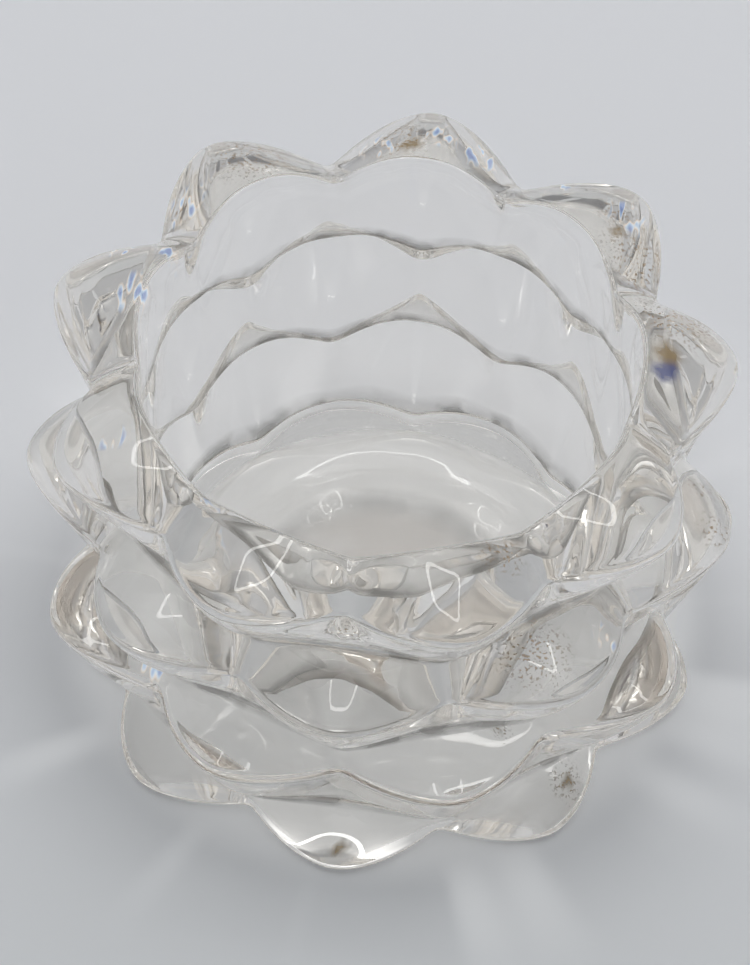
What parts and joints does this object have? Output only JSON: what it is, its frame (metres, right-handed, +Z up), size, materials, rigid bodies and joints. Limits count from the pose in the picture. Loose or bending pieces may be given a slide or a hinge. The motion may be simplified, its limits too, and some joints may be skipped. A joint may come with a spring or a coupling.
{
  "type": "tealight holder",
  "caption": "Clear glass tealight holder: a heavy open round bowl in staggered tiers of pointed petals, on a flat base.",
  "frame": {"origin": "centre of the flat base, on the table", "axes": "+Z up along the bowl's axis, out of its mouth; a petal of the top tier points along +Y"},
  "size_m": [0.0926, 0.0938, 0.0572],
  "materials": {
    "clear_glass": "clear colourless pressed crystal glass, fire-polished, soft rounded edges"
  },
  "bodies": {
    "root": {"glass_holder": "clear_glass"}
  },
  "joints": []
}
